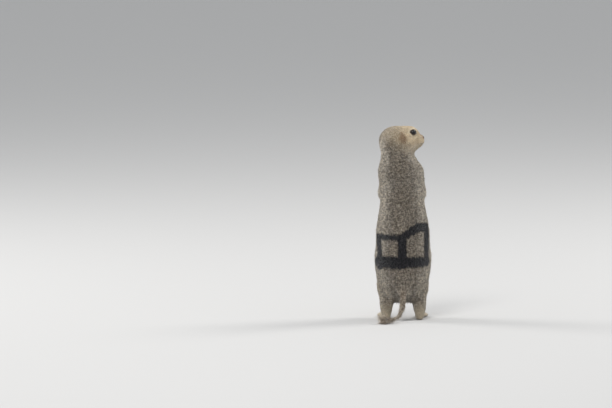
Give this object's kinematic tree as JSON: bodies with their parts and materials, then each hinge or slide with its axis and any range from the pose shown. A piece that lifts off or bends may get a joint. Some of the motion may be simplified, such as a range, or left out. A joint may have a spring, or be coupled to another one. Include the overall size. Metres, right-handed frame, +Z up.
{
  "type": "ground squirrel",
  "caption": "Ground squirrel standing upright on its hind legs as a still, life-size model, looking round over its right shoulder, with a dark bar mark dyed on its back.",
  "frame": {"origin": "on the floor, at the middle of the bounding box's base", "axes": "+Z up from the soles to the crown, the chest faces -Y and the back +Y, the animal's own left side is +X"},
  "size_m": [0.0746, 0.1158, 0.2497],
  "materials": {
    "coat_back": "short flecked grey-buff fur",
    "coat_face": "short warm buff fur, paler round the eye",
    "coat_limb": "short pale buff fur",
    "ear": "thin skin with very short buff hair",
    "nose": "dark, slightly moist skin",
    "eye": "glossy near-black brown eye",
    "claw": "dark horn"
  },
  "bodies": {
    "root": {"head": "coat_face", "nose": "nose", "eye_left": "eye", "ear_left": "ear", "upper_arm_left": "coat_back", "forearm_left": "coat_limb", "hand_left": "coat_limb", "thigh_left": "coat_back", "shank_left": "coat_limb", "foot_left": "coat_limb", "eye_right": "eye", "ear_right": "ear", "upper_arm_right": "coat_back", "forearm_right": "coat_limb", "hand_right": "coat_limb", "thigh_right": "coat_back", "shank_right": "coat_limb", "foot_right": "coat_limb", "claw_fore_left_1": "claw", "claw_fore_left_2": "claw", "claw_fore_left_3": "claw", "claw_fore_left_4": "claw", "claw_fore_right_1": "claw", "claw_fore_right_2": "claw", "claw_fore_right_3": "claw", "claw_fore_right_4": "claw", "claw_hind_left_1": "claw", "claw_hind_left_2": "claw", "claw_hind_left_3": "claw", "claw_hind_left_4": "claw", "claw_hind_left_5": "claw", "claw_hind_right_1": "claw", "claw_hind_right_2": "claw", "claw_hind_right_3": "claw", "claw_hind_right_4": "claw", "claw_hind_right_5": "claw", "neck": "coat_back", "chest": "coat_back", "belly": "coat_back", "rump": "coat_back", "tail_stem": "coat_back", "tail_brush": "coat_back"}
  },
  "joints": []
}
